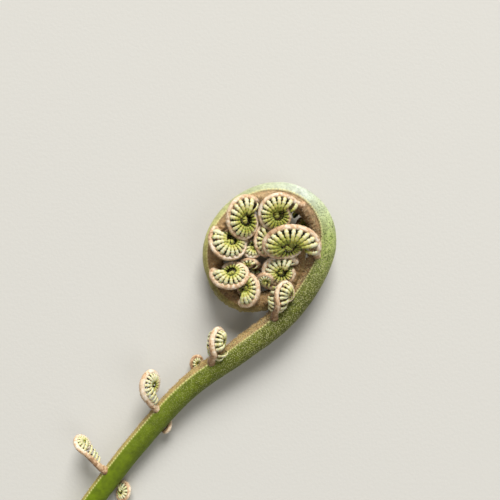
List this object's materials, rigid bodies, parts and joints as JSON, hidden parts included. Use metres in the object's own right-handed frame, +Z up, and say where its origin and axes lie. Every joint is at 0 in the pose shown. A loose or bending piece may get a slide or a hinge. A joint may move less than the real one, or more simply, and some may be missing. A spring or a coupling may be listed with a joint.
{
  "type": "tree fern crozier",
  "caption": "Young rolled-up frond of a tree fern, cut from its crown and lying on its side: a thick stalk curled into a coil, with small coiled leaflet stems along it.",
  "frame": {"origin": "on the surface that the frond lies on, under the middle of its outline", "axes": "+Z up, square to the big coil's plane; +Y from the cut end of the stalk towards the coil"},
  "size_m": [0.167, 0.2172, 0.0347],
  "materials": {
    "stalk_skin": "matt, with fine hairs",
    "coil_skin": "matt, with fine hairs",
    "inner_coil_skin": "woolly",
    "pinnae": "soft, woolly ribs",
    "young_pinnae": "soft, woolly ribs"
  },
  "bodies": {
    "root": {"coil_bottom": "coil_skin", "coil_left": "coil_skin", "coil_right": "coil_skin", "coil_top": "coil_skin", "inner_coil_bottom": "inner_coil_skin", "inner_coil_left": "inner_coil_skin", "inner_coil_right": "inner_coil_skin", "inner_coil_tip": "inner_coil_skin", "inner_coil_top": "inner_coil_skin", "pinna_far_1": "pinnae", "pinna_far_10": "pinnae", "pinna_far_2": "pinnae", "pinna_far_3": "pinnae", "pinna_far_4": "pinnae", "pinna_far_5": "pinnae", "pinna_far_6": "pinnae", "pinna_far_7": "pinnae", "pinna_far_8": "pinnae", "pinna_far_9": "pinnae", "pinna_inner_far_1": "young_pinnae", "pinna_inner_far_2": "young_pinnae", "pinna_inner_far_3": "young_pinnae", "pinna_inner_far_4": "young_pinnae", "pinna_inner_near_1": "young_pinnae", "pinna_inner_near_2": "young_pinnae", "pinna_inner_near_3": "young_pinnae", "pinna_inner_near_4": "young_pinnae", "pinna_inner_near_5": "young_pinnae", "pinna_near_1": "pinnae", "pinna_near_10": "pinnae", "pinna_near_2": "pinnae", "pinna_near_3": "pinnae", "pinna_near_4": "pinnae", "pinna_near_5": "pinnae", "pinna_near_6": "pinnae", "pinna_near_7": "pinnae", "pinna_near_8": "pinnae", "pinna_near_9": "pinnae", "stalk_foot": "stalk_skin", "stalk_middle": "stalk_skin", "stalk_top": "stalk_skin"}
  },
  "joints": []
}
